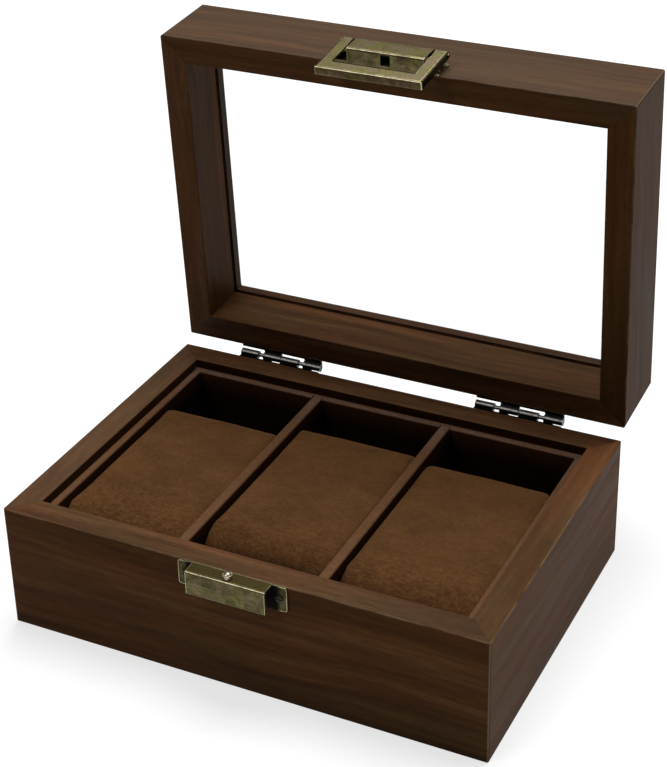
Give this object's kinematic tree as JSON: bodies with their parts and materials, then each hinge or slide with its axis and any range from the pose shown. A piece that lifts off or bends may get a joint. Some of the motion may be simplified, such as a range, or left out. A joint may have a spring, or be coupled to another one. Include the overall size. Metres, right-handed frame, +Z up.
{
  "type": "watch box",
  "caption": "Wooden watch box: hinged lid with a glass pane, suede-lined compartments with lift-out cushions, and a swinging frame latch at the front.",
  "frame": {"origin": "middle of the underside of the case, on the plane that it stands on", "axes": "+Z up, +Y to the hinges at the back, +X to the right as seen from the front"},
  "size_m": [0.2, 0.1862, 0.2052],
  "materials": {
    "walnut": "satin",
    "panel_wood": "matte",
    "felt": "matte",
    "lining_suede": "matte",
    "cushion_suede": "matte",
    "hinge_metal": "satin",
    "antique_brass": "satin",
    "glass": "gloss"
  },
  "bodies": {
    "base": {"base_front": "walnut", "base_back": "walnut", "base_left": "walnut", "base_right": "walnut", "bottom_panel": "panel_wood", "bottom_felt": "felt", "lining_front": "lining_suede", "lining_back": "lining_suede", "lining_left": "lining_suede", "lining_right": "lining_suede", "lining_floor": "lining_suede", "divider_left": "lining_suede", "divider_right": "lining_suede", "hinge_left_case_leaf": "hinge_metal", "hinge_right_case_leaf": "hinge_metal", "hinge_left_pin": "hinge_metal", "hinge_right_pin": "hinge_metal", "catch": "antique_brass", "catch_stud": "antique_brass", "catch_screws": "antique_brass"},
    "cushion_left": {"cushion_left": "cushion_suede"},
    "cushion_middle": {"cushion_middle": "cushion_suede"},
    "cushion_right": {"cushion_right": "cushion_suede"},
    "lid": {"hinge_left_lid_leaf": "hinge_metal", "hinge_right_lid_leaf": "hinge_metal", "lid_front": "walnut", "lid_back": "walnut", "lid_left": "walnut", "lid_right": "walnut", "glass_pane": "glass", "latch_bracket": "antique_brass", "latch_screws": "antique_brass"},
    "latch_frame": {"latch_pin": "antique_brass", "latch_frame": "antique_brass"}
  },
  "joints": [
    {"name": "lid_hinge", "type": "hinge", "parent": "base", "child": "lid", "pos_m": [0, 0.0745, 0.053], "axis": [-1, 0, 0], "range_deg": [-86.4, 0]},
    {"name": "latch_pivot", "type": "hinge", "parent": "lid", "child": "latch_frame", "pos_m": [0, 0.07445, 0.20354], "axis": [-1, 0, 0], "range_deg": [0, 190]},
    {"name": "cushion_left_lift", "type": "slide", "parent": "base", "child": "cushion_left", "axis": [0, 0, 1], "range_m": [0, 0.048]},
    {"name": "cushion_middle_lift", "type": "slide", "parent": "base", "child": "cushion_middle", "axis": [0, 0, 1], "range_m": [0, 0.048]},
    {"name": "cushion_right_lift", "type": "slide", "parent": "base", "child": "cushion_right", "axis": [0, 0, 1], "range_m": [0, 0.048]}
  ]
}
